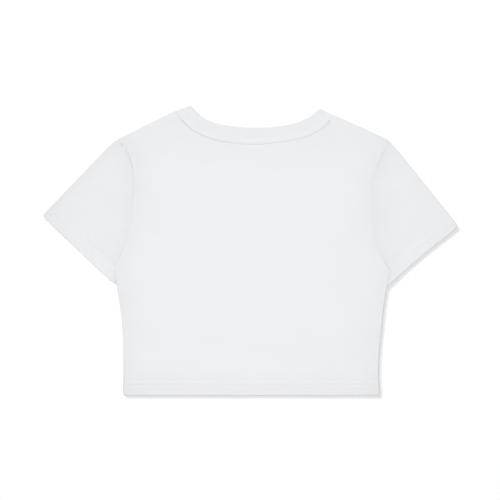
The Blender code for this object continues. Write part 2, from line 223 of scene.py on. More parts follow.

# Where the cloth has not settled quite flat, and how the sleeves' corners are tucked,
# with a painted shadow on each tucked corner
SWELLS = (
    Swell(-95.0, 120.0, 70.0, 90.0, 0.35),
    Swell(70.0, 85.0, 90.0, 60.0, 0.3),
    Swell(120.0, 215.0, 45.0, 80.0, 0.35),
    Swell(-20.0, 235.0, 80.0, 50.0, -0.2),
    Swell(-240.0, 255.0, 40.0, 45.0, 0.4),
    Swell(240.0, 250.0, 42.0, 50.0, 0.4),
)
# Each tuck's shade is a painted shadow where the sleeve's corner lies under the body's side
TUCKS = by_side(Tuck(2.0, 4.5, Shade(0.8, 5.0)), Tuck(3.25, 5.0, Shade(0.2, 5.0)))


class Line:
    """A line in plan, read by the distance along it."""

    block = 20000  # how many places are measured at once

    def __init__(self, points: Sequence) -> None:
        """Measures the line.

        Args:
            points: rows of x and up.
        """
        self.points = np.asarray(points, float)
        steps = np.linalg.norm(np.diff(self.points, axis=0), axis=1)
        self.distances = np.concatenate([[0.0], np.cumsum(steps)])
        self.length = float(self.distances[-1])

    def at(self, distance: float | Array) -> Array:
        """The points at these distances along the line."""
        return np.stack([np.interp(distance, self.distances, c) for c in self.points.T], axis=-1)

    def moved(self, offset: float | Array) -> Line:
        """The line moved sideways, to its right as it runs, by one offset or one a point."""
        along = np.gradient(self.points, axis=0)
        along /= np.linalg.norm(along, axis=1, keepdims=True)
        right = np.stack([along[:, 1], -along[:, 0]], axis=1)
        return Line(self.points + np.reshape(offset, (-1, 1)) * right)

    def between(self, other: Line) -> Line:
        """This line with the other's two ends in place of its own."""
        return Line([other.points[0], *self.points[1:-1], other.points[-1]])

    def joined(self, other: Line) -> Line:
        """This line and then the other, which starts where this one ends."""
        return Line(np.vstack([self.points, other.points[1:]]))

    def eased(self, shift: float, reach: float, spans: int = 5) -> Line:
        """The line with its start drawn sideways in a short curve, to its right.

        Args:
            shift: how far the start is drawn.
            reach: how far along the line the curve ends.
            spans: how many straight parts stand for the curve.

        Returns:
            The new line.
        """
        distance = np.union1d(np.linspace(0.0, reach, spans + 1), self.distances)
        points, drawn = self.at(distance), np.clip(1 - distance / reach, 0.0, 1.0) ** 2
        points[:, 0] += shift * drawn
        return Line(points)

    def bowed(self, bow: float, spans: int = 8) -> Line:
        """A straight line bent into a shallow arc, to its left as it runs.

        Args:
            bow: how far its middle moves.
            spans: how many straight parts stand for the arc.

        Returns:
            The new line.
        """
        share = np.linspace(0.0, 1.0, spans + 1)[:, None]
        start, end = self.points[0], self.points[-1]
        run = (end - start) / np.linalg.norm(end - start)
        out = np.array([-run[1], run[0]])
        return Line(start + share * (end - start) + 4 * bow * share * (1 - share) * out)

    def nearest(self, places: Array) -> tuple[Array, Array]:
        """Looks up the nearest point of the line.

        Args:
            places: plan points in an array of any shape that ends in 2.

        Returns:
            How far each place is from the line, and the share of the line's length there.
        """
        start, run = self.points[:-1], np.diff(self.points, axis=0)
        lengths = np.maximum((run * run).sum(-1), TINY)
        flat = places.reshape(-1, 2)
        away, along = np.empty(len(flat)), np.empty(len(flat))
        for first in range(0, len(flat), self.block):
            here = slice(first, first + self.block)
            place = flat[here, None, :] - start
            t = np.clip((place * run).sum(-1) / lengths, 0.0, 1.0)
            gaps = np.linalg.norm(place - t[..., None] * run, axis=-1)
            best = gaps.argmin(axis=1)
            rows = np.arange(len(best))
            away[here] = gaps[rows, best]
            along[here] = self.distances[best] + t[rows, best] * np.sqrt(lengths[best])
        shape = places.shape[:-1]
        return away.reshape(shape), along.reshape(shape) / self.length


def away_from(places: Array, lines: Iterable[Line]) -> Array:
    """How far each plan point is from the nearest of the lines."""
    return np.min([line.nearest(places)[0] for line in lines], axis=0)


def smooth(rows: Sequence, per_span: int = 10) -> Array:
    """A dense Catmull-Rom curve through a table's rows.

    Args:
        rows: the table.
        per_span: how many rows come of each of its spans.

    Returns:
        Rows with the same columns.
    """
    rows = np.asarray(rows, float)
    padded = np.vstack([2 * rows[0] - rows[1], rows, 2 * rows[-1] - rows[-2]])
    t = np.arange(per_span)[:, None] / per_span
    spans = []
    for a, b, c, d in zip(padded, padded[1:], padded[2:], padded[3:]):
        squares = (2 * a - 5 * b + 4 * c - d) * t**2
        cubes = (3 * b - a - 3 * c + d) * t**3
        spans.append((2 * b + (c - a) * t + squares + cubes) / 2)
    return np.vstack([*spans, rows[-1:]])


def smoothstep(value: Array) -> Array:
    """0 below 0, 1 above 1, and an even ease between them."""
    t = np.clip(value, 0.0, 1.0)
    return t * t * (3 - 2 * t)


def blend(start: Any, end: Any, share: Array) -> Array:
    """The start where the share is 0, and the end where it is 1."""
    return start + (end - start) * share


def bell(distance: Array, width: float) -> Array:
    """1 at no distance, and next to nothing past twice the width."""
    return np.exp(-((distance / width) ** 2))


def arch(distance: Array, reach: float) -> Array:
    """A quarter round: 0 on a folded edge, and 1 from its reach inwards."""
    return np.sqrt(1 - (1 - np.clip(distance / reach, 0.0, 1.0)) ** 2)


def graded(start: float, stop: float, spots: Iterable, coarse: float) -> Array:
    """Distances along a line that lie closer together beside some spots.

    Args:
        start: the first distance.
        stop: the last distance.
        spots: where the steps are fine, each as its distance along the line and its step.
        coarse: the longest step.

    Returns:
        Distances from start to stop.
    """
    grain, growth = 0.04, 0.22
    length = stop - start
    fine = np.linspace(0.0, length, int(length / grain) + 2)
    steps = np.full_like(fine, coarse)
    for spot, step in spots:
        steps = np.minimum(steps, step + growth * np.abs(fine - (spot - start)))
    middle = 2 / (steps[1:] + steps[:-1])
    count = np.concatenate([[0.0], np.cumsum(middle * np.diff(fine))])
    return start + np.interp(np.linspace(0.0, count[-1], math.ceil(count[-1]) + 1), count, fine)


class Ripples:
    """Smooth unevenness of a plane, as a sum of plane waves with fixed seeds."""

    spread = (0.65, 1.6)

    def __init__(self, seed: int, wavelength: float, waves: int = 14) -> None:
        """Draws the waves.

        Args:
            seed: fixes the draw.
            wavelength: the waves' mean length.
            waves: how many are summed.
        """
        draw = np.random.default_rng(seed)
        turn = draw.uniform(0.0, math.pi, waves)
        size = 2 * math.pi / (wavelength * draw.uniform(*self.spread, waves))
        self.numbers = np.stack([np.cos(turn) * size, np.sin(turn) * size])
        self.phases = draw.uniform(0.0, 2 * math.pi, waves)
        self.scale = math.sqrt(2.0 / waves)

    def at(self, places: Array) -> Array:
        """The unevenness at plan points, about -1 to 1."""
        return np.cos(places @ self.numbers + self.phases).sum(-1) * self.scale


class Pattern:
    """The garment's seams, folds and hems in plan, worked out from the tables."""

    seam_gap = 0.008
    hem_corner = (1.7, 3.0)
    shoulder_bow = by_side(0.45, 0.6)
    underarm_rows = 15

    def __init__(self) -> None:
        """Works out every line."""
        self.rib_edges: dict[Layer, Line] = {}
        self.rib_seams: dict[Layer, Line] = {}
        self.necklines: dict[Layer, Line] = {}
        for layer, table in RIBS.items():
            sections = smooth(table)
            seam = Line(sections[:, 2:])
            half_gap = self.half_gap(seam, NECK_GROOVE)
            self.rib_edges[layer] = Line(sections[:, :2])
            self.rib_seams[layer] = seam.moved(-half_gap)
            self.necklines[layer] = seam.moved(half_gap)
        for lines in (self.rib_seams, self.necklines):
            lines[Layer.FRONT] = lines[Layer.FRONT].between(lines[Layer.BACK])
        edge, seam = self.rib_edges[Layer.BACK].points, self.rib_seams[Layer.BACK].points
        self.rib_folds = [Line([edge[end], seam[end]]) for end in (0, -1)]

        self.sides: dict[Side, Line] = {}
        self.armholes: dict[Side, Line] = {}
        self.sleeve_armholes: dict[Side, Line] = {}
        self.sleeve_folds: dict[Side, Line] = {}
        self.underarms: dict[Side, Line] = {}
        self.cuffs: dict[Side, Line] = {}
        self.shoulders: dict[Side, Line] = {}
        neckline = self.necklines[Layer.BACK].points
        for side, end, right in ((Side.LEFT, 0, 1.0), (Side.RIGHT, -1, -1.0)):
            seam = Line(smooth(ARMHOLES[side]))
            half_gap = right * self.half_gap(seam, ARMHOLE_GROOVES[side])
            body, sleeve = seam.moved(half_gap), seam.moved(-half_gap)
            inset, reach = self.hem_corner
            seam = Line(smooth([*SIDES[side], body.points[0]]))
            self.sides[side] = seam.eased(right * inset, reach)
            bow = self.shoulder_bow[side] * right
            self.shoulders[side] = Line([body.points[-1], neckline[end]]).bowed(bow)
            self.armholes[side] = body
            self.sleeve_armholes[side] = sleeve
            cuff, fold = Line(smooth(CUFFS[side])), Line(smooth(SLEEVE_FOLDS[side]))
            self.sleeve_folds[side] = Line([sleeve.points[-1], *fold.points[1:]])
            share = np.linspace(0.0, 1.0, self.underarm_rows)[:-1]
            ups = cuff.points[0, 1] + share * (sleeve.points[0, 1] - cuff.points[0, 1])
            beside = np.interp(ups, *self.sides[side].points.T[::-1])
            beside -= right * np.interp(share, *np.array(UNDERARM_GAPES[side]).T)
            self.underarms[side] = Line([*zip(beside, ups), sleeve.points[0]])
            self.cuffs[side] = Line([self.underarms[side].points[0], *cuff.points[1:]])
        self.hem = Line([self.sides[side].points[0] for side in Side])

    def half_gap(self, seam: Line, profile: Array) -> Array:
        """Half of how far a seam stands open at each of its points."""
        share, _, _, gape = profile
        return (self.seam_gap + np.interp(seam.distances / seam.length, share, gape)) / 2

    def body_edge(self, side: Side) -> Line:
        """A body panel's edge, up its side seam and armhole and along its shoulder."""
        return self.sides[side].joined(self.armholes[side]).joined(self.shoulders[side])

    def hems(self, on_sleeve: bool) -> list[Line]:
        """The hemmed edges of the sleeves or of the body."""
        return [*self.cuffs.values()] if on_sleeve else [self.hem]

    def folds(self, on_sleeve: bool) -> list[Line]:
        """The edges that the jersey turns over at, on the sleeves or on the body."""
        if on_sleeve:
            return [*self.sleeve_folds.values()]
        return [*self.sides.values(), *self.shoulders.values()]


class Patch:
    """Plan points on the body or on the sleeves, with their distances from its lines."""

    def __init__(self, pattern: Pattern, places: Array, on_sleeve: bool) -> None:
        """Measures the distances.

        Args:
            pattern: the garment's lines.
            places: plan points in an array of any shape that ends in 2.
            on_sleeve: says that they lie on a sleeve.
        """
        self.places, self.on_sleeve = places, on_sleeve
        self.x, self.up = places[..., 0], places[..., 1]
        self.from_hem = away_from(places, pattern.hems(on_sleeve))
        self.from_folds = away_from(places, pattern.folds(on_sleeve))
        self.from_underarms = away_from(places, pattern.underarms.values())
        self.from_neckline, self.neck_share = pattern.necklines[Layer.BACK].nearest(places)


@dataclass(frozen=True)
class Lay:
    """How the cloth lies: the heights of its outer faces above the floor."""

    pattern: Pattern

    # Folded edges: their height, how far in they are round, and how far in they tell
    fold_height: float = 3.35
    fold_reach: float = 0.6
    fold_fade: float = 9.0
    side_gap: float = 0.02

    # The back's crown, which rises to the chest between two places up
    body_height: float = 3.1
    chest_height: float = 3.4
    chest_rise: tuple[float, float] = (250.0, 305.0)

    # Hems: their depth, how high they lie, how far up that fades, and the doubled cloth
    body_hem: float = 20.0
    sleeve_hem: float = 18.5
    hem_height: float = 3.1
    sleeve_hem_height: float = 2.7
    hem_fade: float = 24.0
    sleeve_hem_fade: float = 90.0
    hem_step: float = 0.14
    hem_lap: float = 0.6

    # Rows of hem stitches: how far inside the hem they run, and the dents that they pull
    row_insets: tuple[float, float] = (0.7, 6.4)
    row_dent: float = 0.11
    row_width: float = 0.8
    sleeve_row_shares: tuple[float, float] = (0.4, 0.75)
    thread_dent: float = 0.2

    # The rib, and how the jersey comes up to it
    rib_fold_height: float = 3.4
    rib_fold_reach: float = 1.8
    rib_rest_height: float = 2.9
    rib_fall: float = 60.0
    rib_proud: float = 0.13
    rib_level: tuple[float, float] = (0.972, 0.012)
    neck_fade: float = 17.0

    # Seams: the allowance under the rib, the rolls that face the light, the pucker below
    # each shoulder tip, and the armholes and underarms
    allowance: float = 6.5
    allowance_height: float = 0.12
    allowance_slope: float = 3.0
    lit_rolls: tuple[float, float, float] = (0.3, 0.0, 0.3)
    pucker: float = 10.4
    seam_fade: float = 28.0
    underarm_height: float = 3.3
    underarm_press: tuple[float, float] = (0.97, 3.0)

    # Soft unevenness, broad and narrow, and how far inside the edges it is full
    unevenness: tuple[float, float] = (0.05, 0.012)
    uneven_from: float = 14.0

    def hem(self, on_sleeve: bool) -> float:
        """How deep the hem is, on the sleeves or on the body."""
        return self.sleeve_hem if on_sleeve else self.body_hem

    def rows(self, on_sleeve: bool) -> list[float]:
        """How far the two rows of hem stitches stand from the hem's edge."""
        return [self.hem(on_sleeve) - inset for inset in self.row_insets]

    def rib_crown(self, places: Array) -> Array:
        """The top of the back rib away from its folds, which comes down past the front rib.

        Args:
            places: plan points.

        Returns:
            A height for each place.
        """
        edge = self.pattern.rib_edges[Layer.FRONT]
        level = np.interp(places[..., 0], *edge.points.T, left=np.inf, right=np.inf)
        past = np.where(places[..., 1] > level, 1.0, -1.0) * edge.nearest(places)[0]
        return blend(self.rib_fold_height, self.rib_rest_height, smoothstep(past / self.rib_fall))

    def jersey_crown(self, patch: Patch) -> Array:
        """The top of the back panel or of a sleeve's upper layer, inside its folds.

        Args:
            patch: where.

        Returns:
            A height for each point.
        """
        low, high = self.chest_rise
        rise = smoothstep((patch.up - low) / (high - low))
        top = blend(self.body_height, self.chest_height, rise)
        for swell in SWELLS:
            across, along = patch.x - swell.x, patch.up - swell.up
            away = np.hypot(across / swell.half_width, along / swell.half_length)
            top = top + swell.height * (1 - smoothstep(away))
        low = self.sleeve_hem_height if patch.on_sleeve else self.hem_height
        fade = self.sleeve_hem_fade if patch.on_sleeve else self.hem_fade
        lowered = 1 - smoothstep((patch.from_hem - self.body_hem) / fade)
        if patch.on_sleeve:
            armholes = away_from(patch.places, self.pattern.armholes.values())
            lowered = lowered * smoothstep(armholes / self.seam_fade)
        top = blend(top, low, lowered)
        inwards = np.maximum(patch.from_folds - self.fold_reach, 0.0)
        top = blend(top, self.fold_height, np.exp(-inwards / self.fold_fade))
        level, step = self.rib_level
        proud = self.rib_proud * smoothstep((level - patch.neck_share) / step)
        beside_rib = self.rib_crown(patch.places) + self.allowance_height - proud
        top = blend(top, beside_rib, bell(patch.from_neckline, self.neck_fade))
        if patch.on_sleeve:
            for side, line in self.pattern.underarms.items():
                near, share = line.nearest(patch.places)
                sewn = blend(TUCKS[side].height, self.underarm_height, share)
                top = blend(top, sewn, np.exp(-near / TUCKS[side].fade))
        return top

    def relief(self, patch: Patch) -> Array:
        """What the seams, hems and stitches add to the jersey's outer face.

        Args:
            patch: where.

        Returns:
            A height for each point.
        """
        pattern, places = self.pattern, patch.places
        # The side of a seam that faces the light rolls down less
        left_roll, right_roll, neck_roll = self.lit_rolls
        rolls = by_side((left_roll, 1.0), (1.0, right_roll))
        added = -neck_roll * self.sunk(places, pattern.necklines[Layer.BACK], NECK_GROOVE)
        for side, line in pattern.armholes.items():
            roll = rolls[side][patch.on_sleeve]
            added = added - roll * self.sunk(places, line, ARMHOLE_GROOVES[side])
        left, right = self.sleeve_row_shares
        share = np.where(patch.x < 0, left, right) if patch.on_sleeve else 1.0
        doubled = smoothstep(self.hem(patch.on_sleeve) + self.hem_lap - patch.from_hem)
        return added + share * (self.hem_step * doubled - self.row_dent * self.beside_rows(patch))

    def beside_rows(self, patch: Patch) -> Array:
        """1 under a row of hem stitches, and 0 away from it."""
        rows = self.rows(patch.on_sleeve)
        return sum(bell(patch.from_hem - row, self.row_width) for row in rows)

    @staticmethod
    def sunk(places: Array, line: Line, profile: Array) -> Array:
        """How far the cloth rolls down beside a seam.

        Args:
            places: plan points.
            line: the seam.
            profile: the seam's grooves.

        Returns:
            A depth for each place.
        """
        away, place = line.nearest(places)
        share, depth, width, _ = profile
        beside = np.clip(1 - away / np.interp(place, share, width), 0.0, 1.0)
        return np.interp(place, share, depth) * beside**2

    def rounded(self, patch: Patch) -> Array:
        """How far round its folded edges the jersey has turned: 0 at an edge, 1 inside it."""
        strength, width = self.underarm_press
        reach = self.fold_reach * (1 - strength * bell(patch.from_underarms, width))
        return arch(patch.from_folds, reach)

    def upper(self, patch: Patch) -> Array:
        """The outer face of an upper layer, which turns down at its folded edges.

        Args:
            patch: where.

        Returns:
            A height for each point.
        """
        broad, narrow = self.unevenness
        uneven = broad * BROAD.at(patch.places) + narrow * NARROW.at(patch.places)
        inside = np.minimum(patch.from_folds, patch.from_neckline)
        crown = self.jersey_crown(patch) + self.relief(patch)
        crown = crown + uneven * smoothstep(inside / self.uneven_from)
        return blend((self.fold_height + self.side_gap) / 2, crown, self.rounded(patch))

    def lower(self, patch: Patch) -> Array:
        """The outer face of a lower layer, flat but for its folded edges, which turn up."""
        turned = (self.fold_height - self.side_gap) / 2 * (1 - self.rounded(patch))
        return turned + self.thread_dent * self.beside_rows(patch)

    def rib_face(self, places: Array, layer: Layer) -> Array:
        """The outer face of one half of the rib.

        Args:
            places: plan points.
            layer: which half. The back one covers the seam's allowance, which raises it,
                and the front one lies flat on the floor.

        Returns:
            A height for each place.
        """
        crown = 0.0
        if layer is Layer.BACK:
            seam = self.pattern.rib_seams[layer]
            inside = self.allowance + self.allowance_slope / 2 - seam.nearest(places)[0]
            raised = self.allowance_height * smoothstep(inside / self.allowance_slope)
            crown = self.rib_crown(places) - self.sunk(places, seam, NECK_GROOVE) + raised
        turned = arch(away_from(places, self.pattern.rib_folds), self.rib_fold_reach)
        return blend(self.rib_fold_height / 2, crown, turned)


BROAD = Ripples(seed=11, wavelength=105.0)
NARROW = Ripples(seed=5, wavelength=34.0)
MOTTLE = Ripples(seed=23, wavelength=58.0)


class PaintedShadeAndMottle:
    """How light the cloth is painted, from 1 at its lightest to -1 at its darkest: a random
    mottle, and painted shade and one painted highlight by its seams, folds, edges, hems and
    corners.
    """

    # Painted shade beside the sides, the armholes, the rims of folded edges, the shoulders, the
    # low left side, the neckline, the sleeve folds and the hem, and towards the top
    sides = by_side(Shade(0.75, 22.0), Shade(0.9, 22.0))
    body_armholes = by_side(Shade(0.75, 20.0), Shade(0.75, 20.0))
    sleeve_armholes = by_side(Shade(0.75, 15.0), Shade(0.8, 18.0))
    rims = by_side(Shade(1.0, 0.8), Shade(0.4, 0.8))
    rims_from = 4.0
    shoulder_rim = Shade(0.5, 0.8)
    low_rim = Shade(1.6, 0.8)
    low_rim_height = 75.0
    neckline = Shade(0.12, 16.0)
    folds = by_side(Shade(0.5, 14.0), Shade(0.42, 13.0))
    hem = Shade(0.5, 32.0)
    hem_from = 12.0
    yoke = Shade(0.38, 90.0)
    yoke_from = 305.0
    # Painted shade over each sleeve and towards its cuff's outer corner, a painted highlight
    # inside the sleeve hems, and painted shade just above the left one
    sleeve_strengths = by_side(0.36, 0.24)
    cuff_corner = Shade(0.26, 26.0)
    cuff_outer = (0.3, 0.7)
    painted_hem_highlight = 0.13
    cuff_step = 1.5
    above_left_cuff = Shade(0.18, 18.0)
    rib_tone = 0.62
    mottle = 0.04

    def __init__(self, pattern: Pattern) -> None:
        """Keeps the pattern that the tones follow."""
        self.pattern = pattern

    @staticmethod
    def beside(places: Array, lines: Iterable[Line], shade: Shade) -> Array:
        """How much painted shade darkens the cloth's colour beside some lines."""
        return shade.strength * np.exp(-away_from(places, lines) / shade.reach)

    def jersey(self, patch: Patch) -> Array:
        """The painted tone of a panel or a sleeve: mottle, with painted shade and highlight.

        Args:
            patch: where.

        Returns:
            A tone for each point.
        """
        pattern, places = self.pattern, patch.places
        if patch.on_sleeve:
            armholes, shades, folds = self.sleeve_armholes, self.folds, pattern.sleeve_folds
            edges = (folds, pattern.cuffs)
        else:
            armholes, shades, folds = self.body_armholes, self.sides, pattern.sides
            edges = (folds,)
        tone = 1 + self.mottle * MOTTLE.at(places)
        # Painted shade and highlight from the panel's or the sleeve's own lines
        tone = tone + (self.sleeve(patch) if patch.on_sleeve else self.panel(patch))
        # Painted shade: dark rims along folded edges and cuffs, kept clear of the underarms, and
        # darkening beside the armholes and folds
        clear = smoothstep(patch.from_underarms / self.rims_from)
        darker = np.zeros_like(tone)
        for side in Side:
            rim = self.beside(places, [lines[side] for lines in edges], self.rims[side])
            tone = tone - clear * rim
            armhole = self.beside(places, [pattern.armholes[side]], armholes[side])
            fold = self.beside(places, [folds[side]], shades[side])
            darker = np.maximum(darker, np.maximum(armhole, fold))
        # Painted shade beside the neckline and towards the top
        neck = self.neckline.strength * np.exp(-patch.from_neckline / self.neckline.reach)
        high = smoothstep((patch.up - self.yoke_from) / self.yoke.reach)
        return np.clip(tone - darker - neck - self.yoke.strength * high, -1.0, 1.0)

    def panel(self, patch: Patch) -> Array:
        """The painted shade that a panel's low left side, its shoulders and its hem add to its
        tone.

        Args:
            patch: where.

        Returns:
            An addition for each point.
        """
        # Painted shade: a dark rim low on the left side and along the shoulders, and darkening
        # above the hem
        low = 1 - smoothstep(patch.up / self.low_rim_height)
        rim = self.beside(patch.places, [self.pattern.sides[Side.LEFT]], self.low_rim) * low
        rim = rim + self.beside(patch.places, self.pattern.shoulders.values(), self.shoulder_rim)
        above = (patch.from_hem - self.hem_from) / self.hem.reach
        return -rim - self.hem.strength * (1 - smoothstep(above))

    def sleeve(self, patch: Patch) -> Array:
        """The painted shade and highlight that a sleeve's lay, tucked corner and hem add to its
        tone.

        Args:
            patch: where.

        Returns:
            An addition for each point.
        """
        added = np.zeros_like(patch.x)
        for side, underarm in self.pattern.underarms.items():
            here = (patch.x > 0) == (side is Side.RIGHT)
            corner = np.linalg.norm(patch.places - underarm.points[0], axis=-1)
            shade, (first, last) = TUCKS[side].shade, self.cuff_outer
            # Painted shadow on the corner tucked under the body's side
            added = added - shade.strength * bell(corner, shade.reach)
            near, share = self.pattern.cuffs[side].nearest(patch.places)
            outer = smoothstep((share - first) / (last - first))
            # A painted highlight inside the hem, and on the left painted shade just above it
            in_hem = 1 - smoothstep((near - Lay.sleeve_hem) / self.cuff_step)
            inner = self.painted_hem_highlight * in_hem
            if side is Side.LEFT:
                beyond = np.maximum(near - Lay.sleeve_hem, 0.0) / self.above_left_cuff.reach
                inner = inner - self.above_left_cuff.strength * (1 - in_hem) * np.exp(-beyond)
            # Painted shade towards the cuff's outer corner and over the whole sleeve
            tip = self.cuff_corner.strength * np.exp(-near / self.cuff_corner.reach)
            added = added + here * (blend(inner, -tip, outer) - self.sleeve_strengths[side])
        return added

    def rib(self, places: Array) -> Array:
        """The tone of the neck rib at plan points."""
        return np.clip(self.rib_tone + self.mottle * MOTTLE.at(places), 0.0, 1.0)


class Facing(Enum):
    """Which way a grid of cloth faces."""

    UP = 1.0
    DOWN = -1.0


def in_metres(points: Array) -> Array:
    """Points about the garment's middle, in metres."""
    return (points - (0.0, LENGTH / 2, 0.0)) * MM


def lifted(plan: Array, heights: Array) -> Array:
    """Plan points with their heights."""
    return np.concatenate([plan, heights[..., None]], axis=-1)


def normals(points: Array, facing: Facing) -> Array:
    """Unit normals of a grid of points, all towards the side that it faces."""
    found = np.cross(np.gradient(points, axis=1), np.gradient(points, axis=0))
    found /= np.maximum(np.linalg.norm(found, axis=-1, keepdims=True), TINY)
    return found * np.sign(found[..., 2:] + TINY) * facing.value


@dataclass(frozen=True)
class Turning:
    """Cloth that turns over a rounded edge and comes back underneath itself."""

    radius: float
    rows: int = 7
    bulge: float = 1.0

    @property
    def reach(self) -> float:
        """How far the rounded edge stands out."""
        return self.radius * self.bulge

    def over(self, outer: Array, facing: Facing, depth_rows: int) -> Array:
        """Adds the turned part to a grid, beyond its first row.

        Args:
            outer: rows of points of the outer face. The first lies a reach from the edge.
            facing: which way the outer face looks.
            depth_rows: how many of the rows are doubled underneath.

        Returns:
            The rows of the turned part, from its raw edge, and then the outer rows.
        """
        outwards = normals(outer, facing)
        towards_edge = outer[0] - outer[1]
        towards_edge /= np.linalg.norm(towards_edge, axis=-1, keepdims=True)
        turned = []
        for angle in np.linspace(math.pi, 0.0, self.rows + 1)[:-1]:
            out = towards_edge * self.reach * math.sin(angle)
            turned.append(outer[0] + out - outwards[0] * self.radius * (1 - math.cos(angle)))
        under = outer[1:depth_rows] - 2 * self.radius * outwards[1:depth_rows]
        return np.concatenate([under[::-1], turned, outer])

    def flat(self, values: Array, depth_rows: int) -> Array:
        """The same rows for values that the turned part shares with the outer face."""
        first = values[:1].repeat(self.rows, 0)
        return np.concatenate([values[depth_rows - 1 : 0 : -1], first, values])


def ringed(first: Array, second: Array) -> Array:
    """Two layers of columns joined at their last ones, as a tube laid flat."""
    return np.concatenate([first, second[:, -2::-1]], axis=1)


def enclosed(lines: Sequence[Line]) -> float:
    """The area in plan that lines enclose when they are joined end to end."""
    x, up = np.vstack([line.points for line in lines]).T
    return float(abs(x @ np.roll(up, -1) - up @ np.roll(x, -1)) / 2)


@dataclass(frozen=True)
class Cut:
    """The flat size of a piece before it is sewn, all round on a tube, in millimetres."""

    width: float
    length: float
    area: float

    def declare(self, obj: Piece, sewn_on: Sequence[Piece]) -> None:
        """Works out this cut's size and area in metres, and does nothing more with them."""
        size, area = (self.width * MM, self.length * MM), self.area * MM * MM


def select_nothing() -> None:
    """Leaves no object selected, so that an operator works on what it adds."""
    bpy.ops.object.select_all(action="DESELECT")


class Weaver:
    """Makes cloth meshes from grids of points."""

    wall = 0.62
    weld = 0.004
    crease = math.radians(50.0)

    def __init__(self, finishes: Finishes) -> None:
        """Keeps the finishes that the pieces are dressed in."""
        self.finishes = finishes

    def cloth(self, name: str, points: Array, places: Array, tone: Array, flipped: bool) -> Piece:
        """Makes one piece of thin cloth.

        Args:
            name: the piece's name.
            points: rows and columns of (x, up, height), the outer face.
            places: rows and columns of where the knit is read, in millimetres.
            tone: rows and columns of how light the cloth is painted, painted shade included.
            flipped: says that the grid's upper face is the inner one.

        Returns:
            The new object.
        """
        rows, columns = points.shape[0] - 1, points.shape[1] - 1
        select_nothing()
        bpy.ops.mesh.primitive_grid_add(x_subdivisions=columns, y_subdivisions=rows, size=1.0)
        obj = bpy.context.object
        obj.name = obj.data.name = name
        mesh = obj.data
        flat = np.empty(len(mesh.vertices) * 3)
        mesh.vertices.foreach_get("co", flat)
        flat = flat.reshape(-1, 3)
        column = np.rint((flat[:, 0] + 0.5) * columns).astype(int)
        row = np.rint((flat[:, 1] + 0.5) * rows).astype(int)
        mesh.vertices.foreach_set("co", in_metres(points[row, column]).ravel())
        tones = mesh.attributes.new("tone", "FLOAT", "POINT")
        tones.data.foreach_set("value", tone[row, column].astype(np.float32))
        corners = np.empty(len(mesh.loops), np.int32)
        mesh.loops.foreach_get("vertex_index", corners)
        knit = (places[row, column] * MM)[corners]
        mesh.uv_layers.active.data.foreach_set("uv", knit.ravel())
        bpy.ops.object.mode_set(mode="EDIT")
        bpy.ops.mesh.select_all(action="SELECT")
        bpy.ops.mesh.remove_doubles(threshold=self.weld * MM)
        if flipped:
            bpy.ops.mesh.flip_normals()
        bpy.ops.object.mode_set(mode="OBJECT")
        solidify = obj.modifiers.new("wall", "SOLIDIFY")
        solidify.thickness = self.wall * MM
        solidify.offset = -1.0
        bpy.ops.object.modifier_apply(modifier=solidify.name)
        bpy.ops.object.shade_smooth_by_angle(angle=self.crease)
        return obj


def coons(
    near: Array, far: Array, edges: Sequence[Array], across: Array, ups: Sequence[Array],
    ease: float = 1.0,
) -> Array:
    """Rows of plan points of the patch between four edges.

    Args:
        near: the points of the first row.
        far: the points of the last row.
        edges: the first and then the last point of each row.
        across: how far over each column lies, from 0 to 1.
        ups: how far up each row starts and then ends, from 0 to 1.
        ease: how late the rows take on the last row's bend; 1 is evenly.

    Returns:
        Rows and columns of plan points.
    """
    b = (np.outer(ups[0], 1 - across) + np.outer(ups[1], across))[..., None]
    straight = far[0] + across[:, None] * (far[-1] - far[0])
    plan = (1 - b) * near + b * straight + b**ease * (far - straight)
    for end, weight in ((0, 1 - across), (-1, across)):
        chord = near[end] + ups[end][:, None] * (far[end] - near[end])
        plan = plan + weight[:, None] * (edges[end] - chord)[:, None]
    return plan


